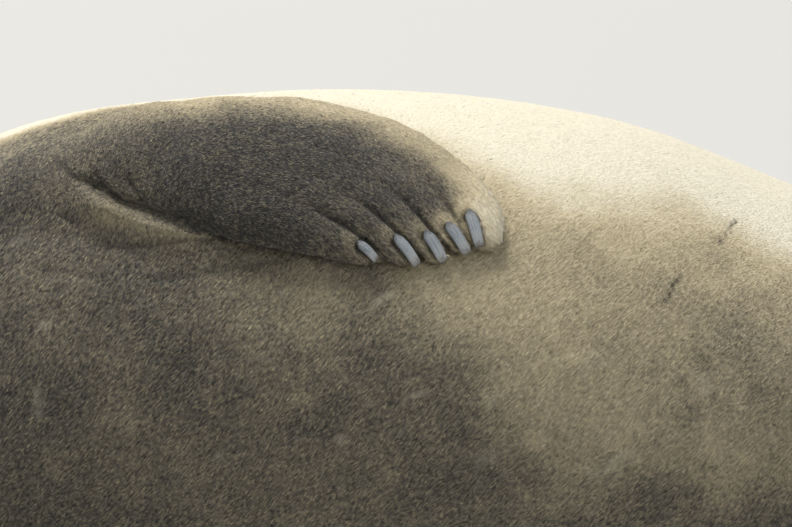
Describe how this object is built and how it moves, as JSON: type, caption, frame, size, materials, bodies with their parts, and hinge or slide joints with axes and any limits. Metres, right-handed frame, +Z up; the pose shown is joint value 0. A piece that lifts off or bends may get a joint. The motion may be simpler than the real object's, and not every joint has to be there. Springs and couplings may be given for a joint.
{
  "type": "elephant seal",
  "caption": "Life-size still model of a young elephant seal resting on its left side and back, a fore flipper laid along its flank, hind flippers together.",
  "frame": {"origin": "centre of the whole model's footprint box, on the ground it rests on", "axes": "+Z up, the nose towards -X, the viewer's side with the right flank towards -Y"},
  "size_m": [2.0366, 0.5597, 0.4442],
  "materials": {
    "coat": "short flat fur, dark grey-brown back and cream belly",
    "flipper_coat": "short flat dark fur",
    "claw": "worn blue-grey horn",
    "eye": "wet, near black"
  },
  "bodies": {
    "root": {"head": "coat", "lower_jaw": "coat", "neck": "coat", "chest": "coat", "belly": "coat", "hindquarters": "coat", "fore_flipper_right": "flipper_coat", "fore_flipper_left": "flipper_coat", "hind_flipper_right": "flipper_coat", "hind_flipper_left": "flipper_coat", "tail": "flipper_coat", "claw_right_1": "claw", "claw_right_2": "claw", "claw_right_3": "claw", "claw_right_4": "claw", "claw_right_5": "claw", "claw_left_1": "claw", "claw_left_2": "claw", "claw_left_3": "claw", "claw_left_4": "claw", "claw_left_5": "claw", "eye_right": "eye", "eye_left": "eye"}
  },
  "joints": []
}
